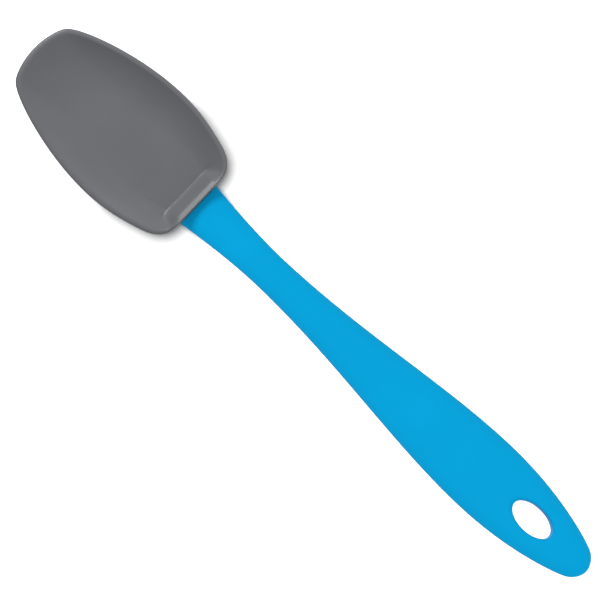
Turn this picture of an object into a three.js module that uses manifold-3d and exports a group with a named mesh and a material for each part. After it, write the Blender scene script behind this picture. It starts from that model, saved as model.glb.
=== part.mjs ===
import * as THREE from "three";
import { mergeVertices } from "three/addons/utils/BufferGeometryUtils.js";
import Module from "manifold-3d";

// A silicone cooking spoon, in millimetres, lying at rest with its bowl up.
// +X runs along the handle towards the tip of the head and +Z is up. The origin is under the
// middle of the spoon, on the surface that it lies on. The two pieces meet at the head's mouth,
// the flat rear end where the tang goes in, and distances along each piece start there.

// Head, seen from above
const HEAD_LENGTH = 80.5;
const HEAD_WIDTH = 49.2;
const HEAD_WIDEST_FROM_MOUTH = 32.7;
const MOUTH_WIDTH = 21.6;
const SHOULDER_FROM_MOUTH = 9;
const SHOULDER_WIDTH = 41.8;
const TIP_CORNER_FROM_TIP = 3.2;
const TIP_CORNER_WIDTH = 25.6;

// Head, seen from the side
const TIP_RIM_HEIGHT = 8.4;
const RIM_ABOVE_HANDLE = 1.9;
const COLLAR_RISE = 0.7;
const COLLAR_WIDTH = 17;
const COLLAR_BLEND = 5;
const EDGE_THICKNESS = 2.6;
const EDGE_ROUNDING = 0.8;
const SKIN_UNDER_SOCKET = 2.1;
const SKIN_OVER_SOCKET = 1.4;

// How far the rim's inner edge, the bowl's floor and the flat underside lie inside the outline
const LAND_AT_SIDES = 1.8;
const LAND_AT_TIP = 2;
const LAND_AT_MOUTH = 1.6;
const FLOOR_AT_SIDES = 13;
const FLOOR_AT_TIP = 35;
const FLOOR_AT_MOUTH = 6.4;
const UNDERSIDE_AT_SIDES = 12.2;
const UNDERSIDE_AT_TIP = 32;
const UNDERSIDE_AT_MOUTH = 1.2;

// Handle outside the head
const HANDLE_LENGTH = 189.2;
const FLARE_WIDTH = 18.6;
const FLARE_THICKNESS = 6.4;
const NECK_FROM_MOUTH = 33.2;
const NECK_WIDTH = 13.3;
const NECK_THICKNESS = 7.6;
const GRIP_FROM_MOUTH = 139.2;
const GRIP_WIDTH = 28.4;
const GRIP_THICKNESS = 10.6;
const END_CORNER_FROM_END = 4;
const END_CORNER_WIDTH = 12.6;
const END_CORNER_THICKNESS = 6.2;
const SECTION_FULLNESS = 2.9;

// Oval hole near the handle's end
const HOLE_FROM_END = 27;
const HOLE_LENGTH = 17.2;
const HOLE_WIDTH = 9.2;
const HOLE_ROUNDING = 1.5;

// Tang, the flat tongue of the handle inside the head
const TANG_LENGTH = 39;
const TANG_ROOT_WIDTH = 14;
const TANG_TIP_WIDTH = 11;
const TANG_ROOT_THICKNESS = 3;
const TANG_TIP_THICKNESS = 1.7;
const TANG_CHAMFER = 0.7;
const TANG_OVERLAP = 2;
const GROOVE_COUNT = 4;
const GROOVE_PITCH = 7;
const GROOVE_RADIUS = 1.5;
const GROOVE_DEPTH = 0.35;

// Gap between the two pieces
const CLEARANCE = 0.3;

// Fineness of the facets
const OUTLINE_STEPS = 8;
const WALL_STEPS = 7;
const EDGE_STEPS = 2;
const HANDLE_STATIONS = 36;
const SECTION_POINTS = 32;
const HOLE_POINTS = 40;
const HOLE_STEPS = 5;
const GROOVE_POINTS = 20;
const HALVINGS = 40;

// Reach of a curve handle, for a quarter circle of radius 1
const ROUND_REACH = 0.5523;

const middleHeight = GRIP_THICKNESS / 2;
const mouthRimHeight = middleHeight + FLARE_THICKNESS / 2 + RIM_ABOVE_HANDLE;
const tangBottom = SKIN_UNDER_SOCKET + CLEARANCE;

const { lerp, smoothstep, degToRad, radToDeg } = THREE.MathUtils;

const wasm = await Module();
wasm.setup();

// A smooth half outline through a few nodes. A node has its place, the heading of the outline
// there in degrees, and how far its curve handles reach before and after it.
function outlineThrough(nodes) {
  const reachFrom = (node, reach) => {
    const heading = degToRad(node.heading);
    return new THREE.Vector2(node.x + reach * Math.cos(heading), node.y + reach * Math.sin(heading));
  };
  const outline = new THREE.CurvePath();
  for (let i = 1; i < nodes.length; i += 1) {
    const from = nodes[i - 1];
    const to = nodes[i];
    outline.add(new THREE.CubicBezierCurve(
      reachFrom(from, 0),
      reachFrom(from, from.after),
      reachFrom(to, -to.before),
      reachFrom(to, 0),
    ));
  }
  return outline;
}

// How far an outline is from the centre line at a distance along it.
function heightAt(outline, distance) {
  const curve = outline.curves.find((candidate) => distance <= candidate.v3.x);
  let low = 0;
  let high = 1;
  for (let i = 0; i < HALVINGS; i += 1) {
    const middle = (low + high) / 2;
    if (curve.getPoint(middle).x < distance) {
      low = middle;
    } else {
      high = middle;
    }
  }
  return curve.getPoint(low).y;
}

// A closed ring from a half outline that ends on the centre line, with a straight rear end.
function closedRing(outline) {
  const left = outline.getPoints(OUTLINE_STEPS);
  const rear = new THREE.Vector2(left[0].x, 0);
  const right = left.map(({ x, y }) => new THREE.Vector2(x, -y));
  return [rear, ...right, ...left.slice(0, -1).reverse()];
}

// A ring drawn in from its outline by different distances at its sides, front and rear.
function drawnIn(ring, { sides, front, rear }) {
  const box = new THREE.Box2().setFromPoints(ring);
  const length = box.max.x - box.min.x;
  const shorter = (length - front - rear) / length;
  const slimmer = (box.max.y - sides) / box.max.y;
  return ring.map(({ x, y }) => {
    const drawnX = box.min.x + rear + (x - box.min.x) * shorter;
    return new THREE.Vector2(drawnX, y * slimmer);
  });
}

// A flat ring raised to a height that depends on the distances along and across the piece.
function raised(ring, heightOver) {
  return ring.map(({ x, y }) => new THREE.Vector3(x, y, heightOver(x, y)));
}

// A closed body through a stack of rings, with a point in the middle of its first and last face.
function loft(rings, firstPoint, lastPoint) {
  const count = rings[0].length;
  const points = [...rings.flat(), firstPoint, lastPoint];
  const lastRing = (rings.length - 1) * count;
  const triangles = [];
  for (let i = 0; i < count; i += 1) {
    const next = (i + 1) % count;
    triangles.push(points.length - 2, next, i);
    triangles.push(points.length - 1, lastRing + i, lastRing + next);
    for (let start = 0; start < lastRing; start += count) {
      triangles.push(start + i, start + next, start + count + next);
      triangles.push(start + i, start + count + next, start + count + i);
    }
  }
  const geometry = new THREE.BufferGeometry().setFromPoints(points);
  geometry.setIndex(triangles);
  return geometry;
}

// A body that can be joined to others and cut.
function solidOf(geometry) {
  const bare = geometry.clone();
  bare.deleteAttribute("normal");
  bare.deleteAttribute("uv");
  const merged = mergeVertices(bare);
  const vertProperties = new Float32Array(merged.attributes.position.array);
  const triVerts = new Uint32Array(merged.index.array);
  return new wasm.Manifold(new wasm.Mesh({ numProp: 3, vertProperties, triVerts }));
}

function meshOf(name, solid, material) {
  const { vertProperties, triVerts } = solid.getMesh();
  const geometry = new THREE.BufferGeometry();
  geometry.setAttribute("position", new THREE.BufferAttribute(vertProperties, 3));
  geometry.setIndex(new THREE.BufferAttribute(triVerts, 1));
  geometry.computeVertexNormals();
  const mesh = new THREE.Mesh(geometry, material);
  mesh.name = name;
  return mesh;
}

// Height of the tang's top, which slopes down to its tip.
function tangTop(x) {
  return tangBottom + lerp(TANG_ROOT_THICKNESS, TANG_TIP_THICKNESS, x / TANG_LENGTH);
}

// The tang or, with a gap added all round it, the socket that takes it.
function tangSolid(gap) {
  const length = TANG_LENGTH + gap;
  const rootHalf = TANG_ROOT_WIDTH / 2 + gap;
  const tipHalf = TANG_TIP_WIDTH / 2 + gap;
  const sideEnd = length - tipHalf;
  const sideThird = (sideEnd + TANG_OVERLAP) / 3;
  const heading = -radToDeg(Math.atan((rootHalf - tipHalf) / (sideEnd + TANG_OVERLAP)));
  const roundReach = tipHalf * ROUND_REACH;
  const ring = closedRing(outlineThrough([
    { x: -TANG_OVERLAP, y: rootHalf, heading, after: sideThird },
    { x: sideEnd, y: tipHalf, heading, before: sideThird, after: roundReach },
    { x: length, y: 0, heading: -90, before: roundReach },
  ]));
  const face = drawnIn(ring, { sides: TANG_CHAMFER, front: TANG_CHAMFER, rear: 0 });
  const bottom = tangBottom - gap;
  const top = (x) => tangTop(x) + gap;
  const rings = [
    raised(face, () => bottom),
    raised(ring, () => bottom + TANG_CHAMFER),
    raised(ring, (x) => top(x) - TANG_CHAMFER),
    raised(face, top),
  ];
  const middle = length / 2;
  const underMiddle = new THREE.Vector3(middle, 0, bottom);
  const overMiddle = new THREE.Vector3(middle, 0, top(middle));
  return solidOf(loft(rings, underMiddle, overMiddle));
}

// The tang with cross grooves over and under it, which the silicone grips.
function groovedTang() {
  const rod = new THREE.CylinderGeometry(GROOVE_RADIUS, GROOVE_RADIUS, 2 * TANG_ROOT_WIDTH, GROOVE_POINTS);
  const outside = GROOVE_RADIUS - GROOVE_DEPTH;
  let tang = tangSolid(0);
  for (let i = 1; i <= GROOVE_COUNT; i += 1) {
    const x = i * GROOVE_PITCH;
    tang = tang.subtract(solidOf(rod.clone().translate(x, 0, tangTop(x) + outside)));
    tang = tang.subtract(solidOf(rod.clone().translate(x, 0, tangBottom - outside)));
  }
  return tang;
}

function ovalSection(x, halfWidth, halfThickness) {
  const squared = (share) => Math.sign(share) * Math.abs(share) ** (2 / SECTION_FULLNESS);
  const ring = [];
  for (let i = 0; i < SECTION_POINTS; i += 1) {
    const turn = (2 * Math.PI * i) / SECTION_POINTS;
    const y = halfWidth * squared(Math.sin(turn));
    const z = middleHeight + halfThickness * squared(Math.cos(turn));
    ring.push(new THREE.Vector3(x, y, z));
  }
  return ring;
}

// What the hang hole takes away. It widens towards both faces, so that its edges are rounded.
function holeSolid(halfDepth) {
  const x = HOLE_FROM_END - HANDLE_LENGTH;
  const levels = [];
  for (let i = -HOLE_STEPS; i <= HOLE_STEPS; i += 1) {
    const rise = (2 * HOLE_ROUNDING * i) / HOLE_STEPS;
    levels.push({ rise, z: middleHeight + rise + Math.sign(i) * (halfDepth - HOLE_ROUNDING) });
  }
  const rings = levels.map(({ rise, z }) => {
    const widening = rise ** 2 / HOLE_ROUNDING;
    const ellipse = new THREE.EllipseCurve(x, 0, HOLE_LENGTH / 2 + widening, HOLE_WIDTH / 2 + widening);
    return ellipse.getPoints(HOLE_POINTS).slice(1).map((point) => new THREE.Vector3(point.x, point.y, z));
  });
  const first = new THREE.Vector3(x, 0, levels.at(0).z);
  const last = new THREE.Vector3(x, 0, levels.at(-1).z);
  return solidOf(loft(rings, first, last));
}

// The grip: oval sections along the handle, flared at the mouth, narrow at the neck, broad where
// the hand holds it and rounded off at its end, with the hang hole through it.
function gripSolid() {
  const endCorner = HANDLE_LENGTH - END_CORNER_FROM_END;
  const plan = outlineThrough([
    { x: 0, y: FLARE_WIDTH / 2, heading: -10, after: 5.8 },
    { x: NECK_FROM_MOUTH, y: NECK_WIDTH / 2, heading: 0, before: 9.8, after: 40.5 },
    { x: GRIP_FROM_MOUTH, y: GRIP_WIDTH / 2, heading: 0, before: 33, after: 26.4 },
    { x: endCorner, y: END_CORNER_WIDTH / 2, heading: -28, before: 1.8, after: 2.9 },
    { x: HANDLE_LENGTH, y: 0, heading: -90, before: 1.7 },
  ]);
  const side = outlineThrough([
    { x: 0, y: FLARE_THICKNESS / 2, heading: 0, after: 10 },
    { x: NECK_FROM_MOUTH, y: NECK_THICKNESS / 2, heading: 1, before: 10, after: 30 },
    { x: GRIP_FROM_MOUTH, y: GRIP_THICKNESS / 2, heading: 0, before: 40, after: 20 },
    { x: endCorner, y: END_CORNER_THICKNESS / 2, heading: -12, before: 8, after: 2 },
    { x: HANDLE_LENGTH, y: 0, heading: -90, before: 1.6 },
  ]);
  const rings = [];
  for (let station = 0; station < HANDLE_STATIONS; station += 1) {
    const distance = (HANDLE_LENGTH * (1 - Math.cos((Math.PI * station) / HANDLE_STATIONS))) / 2;
    rings.push(ovalSection(-distance, heightAt(plan, distance), heightAt(side, distance)));
  }
  const flareFace = new THREE.Vector3(0, 0, middleHeight);
  const endPoint = new THREE.Vector3(-HANDLE_LENGTH, 0, middleHeight);
  const hole = holeSolid(heightAt(side, HANDLE_LENGTH - HOLE_FROM_END));
  return solidOf(loft(rings, flareFace, endPoint)).subtract(hole);
}

// Heights of the rim and of the bowl's floor. Both slope down towards the tip, the floor as the
// top of the tang under it does. Over the tang the rim rises to a low collar along the mouth.
function rimHeight(x, y) {
  const before = Math.max(0, x - LAND_AT_MOUTH);
  const beside = Math.max(0, Math.abs(y) - COLLAR_WIDTH / 2);
  const collar = 1 - smoothstep(Math.hypot(before, beside), 0, COLLAR_BLEND);
  return lerp(mouthRimHeight, TIP_RIM_HEIGHT, x / HEAD_LENGTH) + COLLAR_RISE * collar;
}

function floorHeight(x) {
  return tangTop(x) + CLEARANCE + SKIN_OVER_SOCKET;
}

function headOutline() {
  return closedRing(outlineThrough([
    { x: 0, y: MOUTH_WIDTH / 2, heading: 90, after: 5.4 },
    { x: SHOULDER_FROM_MOUTH, y: SHOULDER_WIDTH / 2, heading: 16, before: 6, after: 9.4 },
    { x: HEAD_WIDEST_FROM_MOUTH, y: HEAD_WIDTH / 2, heading: 0, before: 9.1, after: 18.8 },
    { x: HEAD_LENGTH - TIP_CORNER_FROM_TIP, y: TIP_CORNER_WIDTH / 2, heading: -55, before: 5, after: 3.3 },
    { x: HEAD_LENGTH, y: 0, heading: -90, before: 4.9 },
  ]));
}

// Outer wall, from the flat underside up to the edge: steep at the mouth and sides, and a long
// ramp under the tip.
function outerWall(outline) {
  const rampCurve = 1.5;
  const rings = [];
  for (let step = 0; step <= WALL_STEPS; step += 1) {
    const turn = (Math.PI / 2) * (step / WALL_STEPS);
    const inside = 1 - Math.sin(turn);
    const ring = drawnIn(outline, {
      sides: UNDERSIDE_AT_SIDES * inside,
      front: UNDERSIDE_AT_TIP * inside,
      rear: UNDERSIDE_AT_MOUTH * inside,
    });
    const atMouth = (mouthRimHeight - EDGE_THICKNESS) * (1 - Math.cos(turn));
    const atTip = (TIP_RIM_HEIGHT - EDGE_THICKNESS) * Math.sin(turn) ** rampCurve;
    rings.push(raised(ring, (x) => lerp(atMouth, atTip, x / HEAD_LENGTH)));
  }
  return rings;
}

// Rounded outer edge of the rim.
function roundedEdge(outline) {
  const rings = [];
  for (let step = 0; step <= EDGE_STEPS; step += 1) {
    const turn = (Math.PI / 2) * (step / EDGE_STEPS);
    const inside = EDGE_ROUNDING * (1 - Math.cos(turn));
    const below = EDGE_ROUNDING * (1 - Math.sin(turn));
    const ring = drawnIn(outline, { sides: inside, front: inside, rear: inside });
    rings.push(raised(ring, (x, y) => rimHeight(x, y) - below));
  }
  return rings;
}

// Inner wall of the bowl, from the rim's inner edge down to the floor: a shallow dish that is
// steepest at the rim and runs out into the floor, slowly at the tip and quickly at the mouth.
function bowlWall(outline) {
  const curveAtMouth = 1.5;
  const curveAtTip = 3;
  const crowding = 1.3;
  const rings = [];
  for (let step = 0; step <= WALL_STEPS; step += 1) {
    const inwards = (step / WALL_STEPS) ** crowding;
    const ring = drawnIn(outline, {
      sides: lerp(LAND_AT_SIDES, FLOOR_AT_SIDES, inwards),
      front: lerp(LAND_AT_TIP, FLOOR_AT_TIP, inwards),
      rear: lerp(LAND_AT_MOUTH, FLOOR_AT_MOUTH, inwards),
    });
    const atMouth = (1 - inwards) ** curveAtMouth;
    const atTip = (1 - inwards) ** curveAtTip;
    rings.push(raised(ring, (x, y) => {
      const above = lerp(atMouth, atTip, x / HEAD_LENGTH);
      return lerp(floorHeight(x), rimHeight(x, y), above);
    }));
  }
  return rings;
}

// The head: one bowl of silicone, with the socket for the tang cut into its mouth.
function headSolid() {
  const outline = headOutline();
  const rings = [...outerWall(outline), ...roundedEdge(outline), ...bowlWall(outline)];
  const underside = new THREE.Vector3(HEAD_WIDEST_FROM_MOUTH, 0, 0);
  const floor = new THREE.Vector3(HEAD_WIDEST_FROM_MOUTH, 0, floorHeight(HEAD_WIDEST_FROM_MOUTH));
  return solidOf(loft(rings, underside, floor)).subtract(tangSolid(CLEARANCE));
}

const bluePlastic = new THREE.MeshStandardMaterial({ color: 0x0aa3df, roughness: 0.4, metalness: 0 });
const greySilicone = new THREE.MeshStandardMaterial({ color: 0x6b6c6e, roughness: 0.55, metalness: 0 });

const handle = meshOf("handle", gripSolid().add(groovedTang()), bluePlastic);
const head = meshOf("silicone_head", headSolid(), greySilicone);
head.position.x = CLEARANCE;

const spoon = new THREE.Group();
spoon.add(handle, head);
spoon.position.x = HANDLE_LENGTH - (HANDLE_LENGTH + CLEARANCE + HEAD_LENGTH) / 2;

export default spoon;
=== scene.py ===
import math
import bpy
from mathutils import Matrix, Vector
from mathutils.geometry import interpolate_bezier


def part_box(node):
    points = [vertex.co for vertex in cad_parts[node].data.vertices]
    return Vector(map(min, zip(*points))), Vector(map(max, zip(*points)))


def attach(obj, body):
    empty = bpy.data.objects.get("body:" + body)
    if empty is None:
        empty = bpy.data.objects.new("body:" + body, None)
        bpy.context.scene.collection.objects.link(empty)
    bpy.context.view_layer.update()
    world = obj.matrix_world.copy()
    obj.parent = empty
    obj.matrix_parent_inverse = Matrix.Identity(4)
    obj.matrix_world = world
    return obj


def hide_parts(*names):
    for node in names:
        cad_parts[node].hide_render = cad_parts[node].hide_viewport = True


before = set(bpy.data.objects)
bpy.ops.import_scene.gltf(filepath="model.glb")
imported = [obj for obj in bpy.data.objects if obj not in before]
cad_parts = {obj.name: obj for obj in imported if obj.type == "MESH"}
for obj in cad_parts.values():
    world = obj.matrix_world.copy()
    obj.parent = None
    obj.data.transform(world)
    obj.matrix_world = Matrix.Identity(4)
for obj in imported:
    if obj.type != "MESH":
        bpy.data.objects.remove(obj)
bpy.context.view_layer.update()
bpy.ops.object.select_all(action="DESELECT")

# Camera
# A long lens looks almost straight down on the spoon, which lies from corner to corner of the
# frame. It leans a little towards the spoon's left side.
camera_distance = 1.2
camera_lean = math.radians(4.5)
spoon_slant = math.radians(43.4)
frame_width = 0.2129
look_at = Vector((0.0052, -0.0002, 0.0053))
towards_camera = Vector((0, math.sin(camera_lean), math.cos(camera_lean)))
across_spoon = Vector((0, math.cos(camera_lean), -math.sin(camera_lean)))
along_spoon = Vector((1, 0, 0))
frame_right = -math.cos(spoon_slant) * along_spoon - math.sin(spoon_slant) * across_spoon
frame_up = math.sin(spoon_slant) * along_spoon - math.cos(spoon_slant) * across_spoon
bpy.ops.object.camera_add()
camera = bpy.context.object
camera.name = "photo_camera"
camera.data.sensor_width = 36
camera.data.lens = camera.data.sensor_width * camera_distance / frame_width
camera.data.clip_start = 0.01
camera_turn = Matrix((frame_right, frame_up, towards_camera)).transposed().to_4x4()
camera.matrix_world = Matrix.Translation(look_at + towards_camera * camera_distance) @ camera_turn
bpy.context.scene.camera = camera
bpy.context.scene.view_settings.view_transform = "Standard"

# Floor and studio light
# A white sweep under the spoon in an even white room. Four soft lamps light the head: two from the
# upper right, a low one beyond its tip and a weak one over the handle. One beyond each end lights
# the handle, and one overhead lights the sweep, which keeps a close soft shadow round the head.
# The sweep also glows to the camera, faintly where that shadow falls round the head's shoulders and
# strongly beyond: painted light that whitens out the sweep's shadows everywhere else.
sweep_size = 4.0
sweep_grey = 0.35
shadow_x = 0.0655
shadow_half_length = 0.032
shadow_half_width = 0.075
shadow_core = 0.4
glow_at_shadow = 0.04
glow_beyond = 0.9
room_light = 0.42
lamp_distance = 2.5


def combine(nodes, links, operation, first, second):
    """The sum, product or other combination of two values, each a number or a socket."""
    node = nodes.new("ShaderNodeMath")
    node.operation = operation
    for socket, value in zip(node.inputs, (first, second)):
        if isinstance(value, (int, float)):
            socket.default_value = value
        else:
            links.new(value, socket)
    return node.outputs[0]


bpy.ops.mesh.primitive_plane_add(size=sweep_size)
sweep = bpy.context.object
sweep.name = "white_sweep"
paper = bpy.data.materials.new("white_paper")
paper.use_nodes = True
paper_nodes = paper.node_tree.nodes
paper_links = paper.node_tree.links
paper_nodes.clear()
paper_out = paper_nodes.new("ShaderNodeOutputMaterial")
paper_matt = paper_nodes.new("ShaderNodeBsdfDiffuse")
paper_matt.inputs["Color"].default_value = (sweep_grey, sweep_grey, sweep_grey, 1)
paper_glow = paper_nodes.new("ShaderNodeEmission")
paper_place = paper_nodes.new("ShaderNodeTexCoord")
paper_zone = paper_nodes.new("ShaderNodeMapping")
paper_zone.inputs["Location"].default_value = (-shadow_x / shadow_half_length, 0, 0)
paper_zone.inputs["Scale"].default_value = (1 / shadow_half_length, 1 / shadow_half_width, 0)
paper_links.new(paper_place.outputs["Object"], paper_zone.inputs["Vector"])
paper_distance = paper_nodes.new("ShaderNodeVectorMath")
paper_distance.operation = "LENGTH"
paper_links.new(paper_zone.outputs["Vector"], paper_distance.inputs[0])
# Painted light: a glow, faint round the head's shoulders and strong beyond, whitens other shadows
paper_fade = paper_nodes.new("ShaderNodeMapRange")
paper_fade.interpolation_type = "SMOOTHSTEP"
paper_fade.inputs["From Min"].default_value = shadow_core
paper_fade.inputs["From Max"].default_value = 1
paper_fade.inputs["To Min"].default_value = glow_at_shadow
paper_fade.inputs["To Max"].default_value = glow_beyond
paper_links.new(paper_distance.outputs["Value"], paper_fade.inputs["Value"])
paper_path = paper_nodes.new("ShaderNodeLightPath")
paper_seen = paper_path.outputs["Is Camera Ray"]
paper_shown = combine(paper_nodes, paper_links, "MULTIPLY", paper_fade.outputs["Result"], paper_seen)
paper_links.new(paper_shown, paper_glow.inputs["Strength"])
paper_both = paper_nodes.new("ShaderNodeAddShader")
paper_links.new(paper_matt.outputs[0], paper_both.inputs[0])
paper_links.new(paper_glow.outputs[0], paper_both.inputs[1])
paper_links.new(paper_both.outputs[0], paper_out.inputs["Surface"])
sweep.data.materials.append(paper)

room = bpy.data.worlds.new("white_room")
room.use_nodes = True
room_nodes = room.node_tree.nodes
room_links = room.node_tree.links
room_shade = room_nodes["Background"]
room_shade.inputs["Color"].default_value = (1, 1, 1, 1)
room_path = room_nodes.new("ShaderNodeLightPath")
room_to_camera = room_path.outputs["Is Camera Ray"]
room_to_mirror = room_path.outputs["Is Glossy Ray"]
room_seen = combine(room_nodes, room_links, "MAXIMUM", room_to_camera, room_to_mirror)
room_extra = combine(room_nodes, room_links, "MULTIPLY", room_seen, 1 - room_light)
room_total = combine(room_nodes, room_links, "ADD", room_extra, room_light)
room_links.new(room_total, room_shade.inputs["Strength"])
bpy.context.scene.world = room


def hang_lamp(name, tilt, swing, size, power, mirrored):
    """A round soft lamp, some degrees from overhead and swung to the right of the spoon's tip.

    It gives back the collection of the things that it lights. Only a mirrored lamp shows in a gloss.
    """
    tilt = math.radians(tilt)
    swing = math.radians(swing)
    side = Vector((math.cos(swing), -math.sin(swing), 0))
    direction = math.sin(tilt) * side + Vector((0, 0, math.cos(tilt)))
    bpy.ops.object.light_add(type="AREA", location=look_at + lamp_distance * direction)
    lamp = bpy.context.object
    lamp.name = name
    lamp.data.shape = "DISK"
    lamp.data.size = size
    lamp.data.energy = power
    lamp.visible_glossy = mirrored
    lamp.rotation_euler = direction.to_track_quat("Z", "Y").to_euler()
    lit = bpy.data.collections.new("lit_by_" + name)
    lamp.light_linking.receiver_collection = lit
    return lit


by_head_lamp = hang_lamp("head_lamp", tilt=38, swing=20, size=0.75, power=29, mirrored=True)
by_side_lamp = hang_lamp("side_lamp", tilt=66, swing=75, size=1.2, power=26, mirrored=False)
by_mouth_lamp = hang_lamp("mouth_lamp", tilt=58, swing=180, size=1.0, power=8, mirrored=True)
by_front_lamp = hang_lamp("front_lamp", tilt=66, swing=11.46, size=1.0, power=20, mirrored=False)
by_tip_lamp = hang_lamp("tip_lamp", tilt=50, swing=0, size=1.0, power=39, mirrored=True)
by_rear_lamp = hang_lamp("rear_lamp", tilt=60, swing=180, size=1.2, power=28, mirrored=False)
by_overhead = hang_lamp("overhead", tilt=11, swing=-28, size=1.3, power=166, mirrored=True)
by_overhead.objects.link(sweep)

# Handle
# One moulding of bright blue polypropylene with a satin skin. It flares where it meets the head,
# narrows to a neck, swells to the grip and rounds off past an oval hang hole. A flat tang with
# cross grooves runs on into the head, which is pushed over it.
handle_low, handle_high = (Vector(corner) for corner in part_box("handle"))
head_low, head_high = (Vector(corner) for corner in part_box("silicone_head"))
clearance = 0.0003
mouth_x = head_low.x - clearance
handle_length = mouth_x - handle_low.x
middle_z = (handle_low.z + handle_high.z) / 2
flare_width = 0.0186
flare_thickness = 0.0064
neck_from_mouth = 0.0332
neck_width = 0.0133
neck_thickness = 0.0076
grip_from_mouth = 0.1392
grip_width = 0.0284
grip_thickness = 0.0106
end_corner = handle_length - 0.004
end_corner_width = 0.0126
end_corner_thickness = 0.0062
handle_stations = 48
hole_x = handle_low.x + 0.027
hole_length = 0.0172
hole_width = 0.0092
hole_rounding = 0.0015
hole_steps = 5
tang_length = 0.039
tang_root_width = 0.014
tang_tip_width = 0.011
tang_root_thickness = 0.003
tang_tip_thickness = 0.0017
tang_bottom = 0.0024
tang_overlap = 0.002
tang_chamfer = 0.0007
groove_count = 4
groove_pitch = 0.007
groove_radius = 0.0015
groove_depth = 0.00035
round_reach = 0.5523
outline_steps = 12
curve_samples = 200
crease_angle = math.radians(40)
handle_voxel = 0.00045
mouth_spare = 0.002
seam_half = 0.00022
seam_rise = 0.00008
mouth_closeness = 0.00022


def reach_from(node, reach):
    """The place that lies a reach ahead of an outline's node, along its heading."""
    heading = math.radians(node["heading"])
    return Vector((node["x"] + reach * math.cos(heading), node["y"] + reach * math.sin(heading), 0))


def height_along(nodes, distance):
    """How far a half outline is from the centre line at a distance along it."""
    for start, stop in zip(nodes, nodes[1:]):
        if distance <= stop["x"]:
            curve = interpolate_bezier(
                reach_from(start, 0),
                reach_from(start, start["after"]),
                reach_from(stop, -stop["before"]),
                reach_from(stop, 0),
                curve_samples,
            )
            break
    for near, far in zip(curve, curve[1:]):
        if distance <= far.x:
            return near.y + (far.y - near.y) * (distance - near.x) / (far.x - near.x)
    return curve[-1].y


def draw_outline(name, nodes):
    """A closed ring of edges, lying flat: a half outline and its mirror image, drawn as one curve."""
    bpy.ops.curve.primitive_bezier_curve_add()
    outline = bpy.context.object
    outline.name = name
    outline.data.resolution_u = outline_steps
    spline = outline.data.splines[0]
    spline.use_cyclic_u = True
    mirror = Matrix.Diagonal((1, -1, 1))
    spline.bezier_points.add(2 * len(nodes) - 3)
    for point in spline.bezier_points:
        point.handle_left_type = "FREE"
        point.handle_right_type = "FREE"
    for index, node in enumerate(nodes[:-1]):
        left = spline.bezier_points[index]
        left.co = reach_from(node, 0)
        left.handle_left = reach_from(node, -node["before"])
        left.handle_right = reach_from(node, node["after"])
        right = spline.bezier_points[-1 - index]
        right.co = mirror @ left.co
        right.handle_left = mirror @ left.handle_right
        right.handle_right = mirror @ left.handle_left
    tip = spline.bezier_points[len(nodes) - 1]
    tip.co = reach_from(nodes[-1], 0)
    tip.handle_left = reach_from(nodes[-1], -nodes[-1]["before"])
    tip.handle_right = mirror @ tip.handle_left
    bpy.ops.object.convert(target="MESH")
    return bpy.context.object


def turn_ring(angle, rear, rear_z):
    """Turn the selected ring about the level line through its rear end, front end down."""
    bpy.ops.transform.rotate(value=-angle, orient_axis="Y", center_override=(rear, 0, rear_z))


def move_ring(now, then):
    """Move the selected ring. A ring is given by its rear, front, half width, rear z and front z."""
    rear, front, half, rear_z, front_z = now
    new_rear, new_front, new_half, new_rear_z, new_front_z = then
    length = math.hypot(front - rear, rear_z - front_z)
    new_length = math.hypot(new_front - new_rear, new_rear_z - new_front_z)
    turn_ring(-math.atan2(rear_z - front_z, front - rear), rear, rear_z)
    stretch = (new_length / length, new_half / half, 1)
    bpy.ops.transform.resize(value=stretch, center_override=(rear, 0, rear_z))
    bpy.ops.transform.translate(value=(new_rear - rear, 0, new_rear_z - rear_z))
    turn_ring(math.atan2(new_rear_z - new_front_z, new_front - new_rear), new_rear, new_rear_z)


def draw_up(piece, flat, rings):
    """A closed body: the flat ring moved to the first ring, drawn out through the others, then capped."""
    bpy.ops.object.select_all(action="DESELECT")
    piece.select_set(True)
    bpy.context.view_layer.objects.active = piece
    bpy.ops.object.mode_set(mode="EDIT")
    bpy.ops.mesh.select_all(action="SELECT")
    move_ring(flat, rings[0])
    bpy.ops.mesh.edge_face_add()
    for now, then in zip(rings, rings[1:]):
        bpy.ops.mesh.extrude_edges_move()
        move_ring(now, then)
    bpy.ops.mesh.edge_face_add()
    bpy.ops.mesh.select_all(action="SELECT")
    bpy.ops.mesh.normals_make_consistent(inside=False)
    bpy.ops.object.mode_set(mode="OBJECT")


def select_where(piece, wanted):
    """Open a piece for editing with only the wanted points selected."""
    bpy.context.view_layer.objects.active = piece
    bpy.ops.object.mode_set(mode="EDIT")
    bpy.ops.mesh.select_mode(type="VERT")
    bpy.ops.mesh.select_all(action="DESELECT")
    bpy.ops.object.mode_set(mode="OBJECT")
    for vertex in piece.data.vertices:
        vertex.select = wanted(vertex)
    bpy.ops.object.mode_set(mode="EDIT")


def finish_with(piece, kind, **settings):
    """Add one modifier to a piece and apply it."""
    bpy.context.view_layer.objects.active = piece
    modifier = piece.modifiers.new(kind.lower(), kind)
    for setting, value in settings.items():
        setattr(modifier, setting, value)
    bpy.ops.object.modifier_apply(modifier=modifier.name)


def cut_away(piece, cutter):
    """Subtract one closed body from another."""
    finish_with(piece, "BOOLEAN", object=cutter, operation="DIFFERENCE", solver="EXACT")
    bpy.data.objects.remove(cutter)


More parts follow.
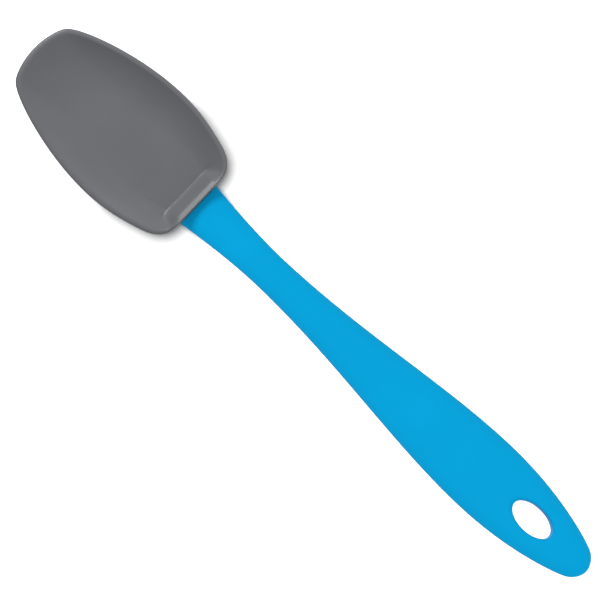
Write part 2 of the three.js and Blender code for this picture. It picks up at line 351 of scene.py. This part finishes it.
def draw_tang(name, gap):
    """The tang or, with a gap added all round it, the room that it takes in the head."""
    rear = mouth_x - tang_overlap
    front = mouth_x + tang_length + gap
    root_half = tang_root_width / 2 + gap
    tip_half = tang_tip_width / 2 + gap
    side_end = front - tip_half
    side_third = (side_end - rear) / 3
    taper = -math.degrees(math.atan2(root_half - tip_half, side_end - rear))
    tip_reach = tip_half * round_reach
    tang = draw_outline(name, [
        {"x": rear, "y": root_half, "heading": taper, "before": 0, "after": side_third},
        {"x": side_end, "y": tip_half, "heading": taper, "before": side_third, "after": tip_reach},
        {"x": front, "y": 0, "heading": -90, "before": tip_reach},
    ])
    bottom = tang_bottom - gap
    rear_top = tang_top(rear) + gap
    front_top = tang_top(front) + gap
    face_front = front - tang_chamfer
    face_half = root_half - tang_chamfer
    draw_up(tang, (rear, front, root_half, 0, 0), [
        (rear, face_front, face_half, bottom, bottom),
        (rear, front, root_half, bottom + tang_chamfer, bottom + tang_chamfer),
        (rear, front, root_half, rear_top - tang_chamfer, front_top - tang_chamfer),
        (rear, face_front, face_half, rear_top, front_top),
    ])
    return tang


def tang_top(x):
    """Height of the tang's top, which slopes down to its tip."""
    slope = (tang_tip_thickness - tang_root_thickness) / tang_length
    return tang_bottom + tang_root_thickness + slope * (x - mouth_x)


handle_plan = [
    {"x": 0, "y": flare_width / 2, "heading": -10, "after": 0.0058},
    {"x": neck_from_mouth, "y": neck_width / 2, "heading": 0, "before": 0.0098, "after": 0.0405},
    {"x": grip_from_mouth, "y": grip_width / 2, "heading": 0, "before": 0.0330, "after": 0.0264},
    {"x": end_corner, "y": end_corner_width / 2, "heading": -28, "before": 0.0018, "after": 0.0029},
    {"x": handle_length, "y": 0, "heading": -90, "before": 0.0017},
]
handle_side = [
    {"x": 0, "y": flare_thickness / 2, "heading": 0, "after": 0.010},
    {"x": neck_from_mouth, "y": neck_thickness / 2, "heading": 1, "before": 0.010, "after": 0.030},
    {"x": grip_from_mouth, "y": grip_thickness / 2, "heading": 0, "before": 0.040, "after": 0.020},
    {"x": end_corner, "y": end_corner_thickness / 2, "heading": -12, "before": 0.008, "after": 0.002},
    {"x": handle_length, "y": 0, "heading": -90, "before": 0.0016},
]

# The grip, an oval drawn out station by station from the flare to the rounded end
bpy.ops.curve.primitive_bezier_circle_add(radius=1, rotation=(0, math.pi / 2, 0))
handle = bpy.context.object
handle.name = "blue_handle"
handle.data.resolution_u = outline_steps
bpy.ops.object.convert(target="MESH")
bpy.ops.object.transform_apply(location=True, rotation=True, scale=True)
bpy.ops.object.mode_set(mode="EDIT")
bpy.ops.mesh.select_all(action="SELECT")
bpy.ops.mesh.edge_face_add()
station_half = 1.0
station_rise = 1.0
station_x = 0.0
for station in range(-1, handle_stations):
    distance = handle_length * (1 - math.cos(math.pi * station / handle_stations)) / 2
    if station < 0:
        distance = -mouth_spare
    next_half = height_along(handle_plan, distance)
    next_rise = height_along(handle_side, distance)
    if station >= 0:
        bpy.ops.mesh.extrude_edges_move()
    bpy.ops.transform.translate(value=(mouth_x - distance - station_x, 0, 0))
    fuller = (1, next_half / station_half, next_rise / station_rise)
    bpy.ops.transform.resize(value=fuller, center_override=(mouth_x - distance, 0, 0))
    station_half = next_half
    station_rise = next_rise
    station_x = mouth_x - distance
bpy.ops.mesh.extrude_edges_move()
bpy.ops.transform.translate(value=(handle_low.x - station_x, 0, 0))
bpy.ops.mesh.merge(type="CENTER")
bpy.ops.mesh.select_all(action="SELECT")
bpy.ops.transform.translate(value=(0, 0, middle_z))
bpy.ops.mesh.normals_make_consistent(inside=False)
bpy.ops.object.mode_set(mode="OBJECT")
finish_with(handle, "SUBSURF", levels=2, render_levels=2)

# The hang hole, cut with an oval that widens towards both faces of the grip
hole_rise = height_along(handle_side, mouth_x - hole_x)
bpy.ops.mesh.primitive_circle_add(vertices=64, radius=1)
hole = bpy.context.object
hole_rings = []
for step in range(-hole_steps, hole_steps + 1):
    rise = 2 * hole_rounding * step / hole_steps
    widening = rise ** 2 / hole_rounding
    hole_half = hole_length / 2 + widening
    hole_side = hole_width / 2 + widening
    hole_z = middle_z + rise
    if step:
        hole_z += math.copysign(hole_rise - hole_rounding, step)
    hole_rings.append((hole_x - hole_half, hole_x + hole_half, hole_side, hole_z, hole_z))
draw_up(hole, (-1, 1, 1, 0, 0), hole_rings)
cut_away(handle, hole)
finish_with(handle, "REMESH", mode="VOXEL", voxel_size=handle_voxel)
finish_with(handle, "SMOOTH", factor=0.5, iterations=6)
bpy.ops.object.mode_set(mode="EDIT")
bpy.ops.mesh.select_all(action="SELECT")
bpy.ops.transform.resize(value=(1, 2 * handle_high.y / handle.dimensions.y, 1))
front_face = (mouth_x + mouth_closeness, 0, 0)
bpy.ops.mesh.bisect(plane_co=front_face, plane_no=(1, 0, 0), use_fill=True, clear_outer=True)
bpy.ops.object.mode_set(mode="OBJECT")

# The tang, with cross grooves over and under it that the silicone grips
tang = draw_tang("tang", 0)
for groove in range(1, groove_count + 1):
    groove_x = mouth_x + groove * groove_pitch
    outside = groove_radius - groove_depth
    for groove_z in (tang_top(groove_x) + outside, tang_bottom - outside):
        bpy.ops.mesh.primitive_cylinder_add(
            vertices=32,
            radius=groove_radius,
            depth=2 * tang_root_width,
            location=(groove_x, 0, groove_z),
            rotation=(math.pi / 2, 0, 0),
        )
        cut_away(tang, bpy.context.object)
finish_with(handle, "BOOLEAN", object=tang, operation="UNION", solver="EXACT")
bpy.data.objects.remove(tang)
bpy.ops.object.select_all(action="DESELECT")
handle.select_set(True)
bpy.context.view_layer.objects.active = handle
bpy.ops.object.shade_smooth_by_angle(angle=crease_angle)

# The finish of a moulding, for both pieces
noise_low = 0.3
noise_high = 0.7
scuff_slimness = 15


def moulded_finish(
    name, colour, darker, cloud_size, grain_size, grain_depth, scuff_length, smooth, rough, shine
):
    """A moulded skin: faintly clouded colour, fine grain, and a gloss that use has scuffed lengthways."""
    finish = bpy.data.materials.new(name)
    finish.use_nodes = True
    nodes = finish.node_tree.nodes
    links = finish.node_tree.links
    shader = nodes["Principled BSDF"]
    shader.inputs["Specular IOR Level"].default_value = shine
    place = nodes.new("ShaderNodeTexCoord")
    clouds = nodes.new("ShaderNodeTexNoise")
    clouds.inputs["Scale"].default_value = 1 / cloud_size
    clouds.inputs["Detail"].default_value = 3
    links.new(place.outputs["Object"], clouds.inputs["Vector"])
    tint = nodes.new("ShaderNodeValToRGB")
    tint.color_ramp.elements[0].position = noise_low
    tint.color_ramp.elements[0].color = (*[part * darker for part in colour], 1)
    tint.color_ramp.elements[1].position = noise_high
    tint.color_ramp.elements[1].color = (*colour, 1)
    links.new(clouds.outputs["Fac"], tint.inputs["Fac"])
    links.new(tint.outputs["Color"], shader.inputs["Base Color"])
    grain = nodes.new("ShaderNodeTexNoise")
    grain.inputs["Scale"].default_value = 1 / grain_size
    grain.inputs["Detail"].default_value = 4
    links.new(place.outputs["Object"], grain.inputs["Vector"])
    stretch = nodes.new("ShaderNodeMapping")
    stretch.inputs["Scale"].default_value = (1, scuff_slimness, scuff_slimness)
    links.new(place.outputs["Object"], stretch.inputs["Vector"])
    scuffs = nodes.new("ShaderNodeTexNoise")
    scuffs.inputs["Scale"].default_value = 1 / scuff_length
    scuffs.inputs["Detail"].default_value = 5
    links.new(stretch.outputs["Vector"], scuffs.inputs["Vector"])
    gloss = nodes.new("ShaderNodeMapRange")
    gloss.inputs["From Min"].default_value = noise_low
    gloss.inputs["From Max"].default_value = noise_high
    gloss.inputs["To Min"].default_value = smooth
    gloss.inputs["To Max"].default_value = rough
    worn = combine(nodes, links, "ADD", clouds.outputs["Fac"], scuffs.outputs["Fac"])
    wear = combine(nodes, links, "MULTIPLY", worn, 0.5)
    links.new(wear, gloss.inputs["Value"])
    links.new(gloss.outputs["Result"], shader.inputs["Roughness"])
    skin = nodes.new("ShaderNodeBump")
    skin.inputs["Distance"].default_value = grain_depth
    skin.inputs["Strength"].default_value = 1
    links.new(grain.outputs["Fac"], skin.inputs["Height"])
    links.new(skin.outputs["Normal"], shader.inputs["Normal"])
    return finish


blue_plastic = moulded_finish(
    "satin_blue_plastic",
    colour=(0.0018, 0.371, 0.723),
    darker=0.96,
    cloud_size=0.02,
    grain_size=0.0004,
    grain_depth=0.000006,
    scuff_length=0.006,
    smooth=0.36,
    rough=0.44,
    shine=0.03,
)

# The mould's parting line, a fine ridge round the middle of the handle's edge
plastic_nodes = blue_plastic.node_tree.nodes
plastic_links = blue_plastic.node_tree.links
seam_place = plastic_nodes.new("ShaderNodeTexCoord")
seam_height = plastic_nodes.new("ShaderNodeSeparateXYZ")
plastic_links.new(seam_place.outputs["Object"], seam_height.inputs[0])
seam_offset = combine(plastic_nodes, plastic_links, "SUBTRACT", seam_height.outputs["Z"], middle_z)
seam_profile = plastic_nodes.new("ShaderNodeMapRange")
seam_profile.inputs["From Max"].default_value = seam_half
seam_profile.inputs["To Min"].default_value = 1
seam_profile.inputs["To Max"].default_value = 0
seam_distance = combine(plastic_nodes, plastic_links, "ABSOLUTE", seam_offset, 0)
plastic_links.new(seam_distance, seam_profile.inputs["Value"])
seam_ridge = plastic_nodes.new("ShaderNodeBump")
seam_ridge.inputs["Distance"].default_value = seam_rise
plastic_links.new(seam_profile.outputs["Result"], seam_ridge.inputs["Height"])
plastic_shader = plastic_nodes["Principled BSDF"]
plastic_links.new(plastic_nodes["Bump"].outputs["Normal"], seam_ridge.inputs["Normal"])
plastic_links.new(seam_ridge.outputs["Normal"], plastic_shader.inputs["Normal"])
handle.data.materials.append(blue_plastic)
by_tip_lamp.objects.link(handle)
by_rear_lamp.objects.link(handle)
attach(handle, "handle")
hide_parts("handle")

# Head
# One moulding of grey silicone: a shallow bowl with a nearly straight tip, a narrow rim that
# rises to a collar over the mouth, and a flat underside. It is pushed onto the tang, and its
# socket fits the tang all round.
head_length = head_high.x - head_low.x
head_half = (head_high.y - head_low.y) / 2
head_widest_x = head_low.x + 0.0327
mouth_half = 0.0108
shoulder_x = head_low.x + 0.0090
shoulder_half = 0.0209
tip_corner_x = head_high.x - 0.0032
tip_corner_half = 0.0128
mouth_rim_z = 0.0104
tip_rim_z = 0.0084
collar_half = 0.0095
collar_blend = 0.005
collar_length = 0.00668
lip_depth = 0.0024
lip_fall = 0.00062
ramp_half = 0.0085
ramp_blend = 0.0055
edge_thickness = 0.0026
edge_rounding = {"sides": 0.0008, "front": 0.0008, "rear": 0.0004}
edge_drop = 0.0008
skin_over_socket = 0.0014
land = {"sides": 0.0018, "front": 0.002, "rear": 0.0010}
land_rounding = {"sides": 0.0005, "front": 0.0005, "rear": 0.0004}
floor = {"sides": 0.013, "front": 0.035, "rear": 0.0042}
floor_middle = {"sides": 0.019, "front": 0.050, "rear": 0.016}
floor_shares = [0.03 * step for step in range(1, 13)] + [0.5, 0.7, 1]
underside = {"sides": 0.0122, "front": 0.032, "rear": 0.0012}
underside_curve = 1.5
bowl_rear_curve = 1.5
bowl_front_curve = 3
bowl_spacing = 1.3
wall_steps = 12
least_upward = 0.05


def rim_z(x):
    """Height of the rim, which falls from the mouth to the tip."""
    return mouth_rim_z + (tip_rim_z - mouth_rim_z) * (x - head_low.x) / head_length


def floor_z(x):
    """Height of the bowl's floor, a skin's thickness over the socket."""
    return tang_top(x - clearance) + clearance + skin_over_socket


def between(near, far, share):
    """Insets part of the way from one set to another."""
    return {place: near[place] + (far[place] - near[place]) * share for place in near}


def head_ring(inset, rear_z, front_z):
    """A ring drawn in from the head's outline."""
    rear = head_low.x + inset["rear"]
    front = head_high.x - inset["front"]
    return (rear, front, head_half - inset["sides"], rear_z, front_z)


nothing = {"sides": 0.0, "front": 0.0, "rear": 0.0}
head = draw_outline("grey_silicone_head", [
    {"x": head_low.x, "y": mouth_half, "heading": 90, "before": 2 * mouth_half / 3, "after": 0.0054},
    {"x": shoulder_x, "y": shoulder_half, "heading": 15.9, "before": 0.0060, "after": 0.0094},
    {"x": head_widest_x, "y": head_half, "heading": 0, "before": 0.0091, "after": 0.0188},
    {"x": tip_corner_x, "y": tip_corner_half, "heading": -55, "before": 0.0050, "after": 0.0033},
    {"x": head_high.x, "y": 0, "heading": -90, "before": 0.0049},
])

# The underside, the wall, the rim and the bowl, drawn up ring by ring from the flat outline
head_rings = []
for step in range(wall_steps + 1):
    turn = math.pi / 2 * step / wall_steps
    inset = between(underside, nothing, math.sin(turn))
    rear_z = (mouth_rim_z - edge_thickness) * (1 - math.cos(turn))
    front_z = (tip_rim_z - edge_thickness) * math.sin(turn) ** underside_curve
    head_rings.append(head_ring(inset, rear_z, front_z))
for turn in (0, math.pi / 6, math.pi / 3, math.pi / 2):
    below = edge_drop * (1 - math.sin(turn))
    inset = {place: edge_rounding[place] * (1 - math.cos(turn)) for place in edge_rounding}
    head_rings.append(head_ring(inset, mouth_rim_z - below, tip_rim_z - below))
inset = {place: land[place] - land_rounding[place] for place in land}
rear_z = rim_z(head_low.x + inset["rear"])
front_z = rim_z(head_high.x - inset["front"])
head_rings.append(head_ring(inset, rear_z, front_z))
for step in range(wall_steps + 1):
    share = (step / wall_steps) ** bowl_spacing
    inset = between(land, floor, share)
    rear_x = head_low.x + inset["rear"]
    front_x = head_high.x - inset["front"]
    rear_z = floor_z(rear_x) + (rim_z(rear_x) - floor_z(rear_x)) * (1 - share) ** bowl_rear_curve
    front_z = floor_z(front_x) + (rim_z(front_x) - floor_z(front_x)) * (1 - share) ** bowl_front_curve
    head_rings.append(head_ring(inset, rear_z, front_z))
for share in floor_shares:
    inset = between(floor, floor_middle, share)
    rear_x = head_low.x + inset["rear"]
    front_x = head_high.x - inset["front"]
    head_rings.append(head_ring(inset, floor_z(rear_x), floor_z(front_x)))
draw_up(head, (head_low.x, head_high.x, head_half, 0, 0), head_rings)

# The collar, which rises softly from the rim over the middle of the mouth
select_where(head, lambda vertex: vertex.normal.z < least_upward)
bpy.ops.mesh.hide()
bpy.ops.object.mode_set(mode="OBJECT")


def on_collar(vertex):
    """Whether a point lies on the rim over the middle of the mouth."""
    on_rim = head_low.x <= vertex.co.x <= head_low.x + land["rear"]
    return on_rim and abs(vertex.co.y) < collar_half and not vertex.hide


select_where(head, on_collar)
bpy.ops.transform.translate(
    value=(0, 0, head_high.z - mouth_rim_z),
    use_proportional_edit=True,
    proportional_edit_falloff="SMOOTH",
    proportional_size=collar_blend,
)
bpy.ops.object.mode_set(mode="OBJECT")

# The ramp from the collar's lip down to the floor, shaped point by point to one side view and
# blended into the bowl towards both shoulders
collar_foot_z = floor_z(head_low.x + collar_length)
collar_side = [
    {"x": edge_rounding["rear"], "y": head_high.z, "heading": -14, "after": 0.0006},
    {"x": lip_depth, "y": head_high.z - lip_fall, "heading": -23, "before": 0.0006, "after": 0.0005},
    {"x": collar_length, "y": collar_foot_z, "heading": -24, "before": 0.0014},
]
for point in head.data.vertices:
    along = point.co.x - head_low.x
    if edge_rounding["rear"] < along < collar_length and not point.hide:
        aside = min(max((abs(point.co.y) - ramp_half) / ramp_blend, 0), 1)
        share = 1 - aside * aside * (3 - 2 * aside)
        point.co.z += share * (height_along(collar_side, along) - point.co.z)
bpy.ops.object.mode_set(mode="EDIT")
bpy.ops.mesh.reveal()
bpy.ops.object.mode_set(mode="OBJECT")
finish_with(head, "SUBSURF", levels=2, render_levels=2)

# The socket, which takes the tang with a clearance all round
socket = draw_tang("socket", clearance)
cut_away(head, socket)
bpy.ops.object.select_all(action="DESELECT")
head.select_set(True)
bpy.context.view_layer.objects.active = head
bpy.ops.object.shade_smooth_by_angle(angle=crease_angle)

grey_silicone = moulded_finish(
    "satin_grey_silicone",
    colour=(0.111, 0.114, 0.122),
    darker=0.95,
    cloud_size=0.012,
    grain_size=0.0005,
    grain_depth=0.000006,
    scuff_length=0.008,
    smooth=0.29,
    rough=0.34,
    shine=0.3,
)
head.data.materials.append(grey_silicone)
by_head_lamp.objects.link(head)
by_side_lamp.objects.link(head)
by_mouth_lamp.objects.link(head)
by_front_lamp.objects.link(head)
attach(head, "head")
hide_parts("silicone_head")
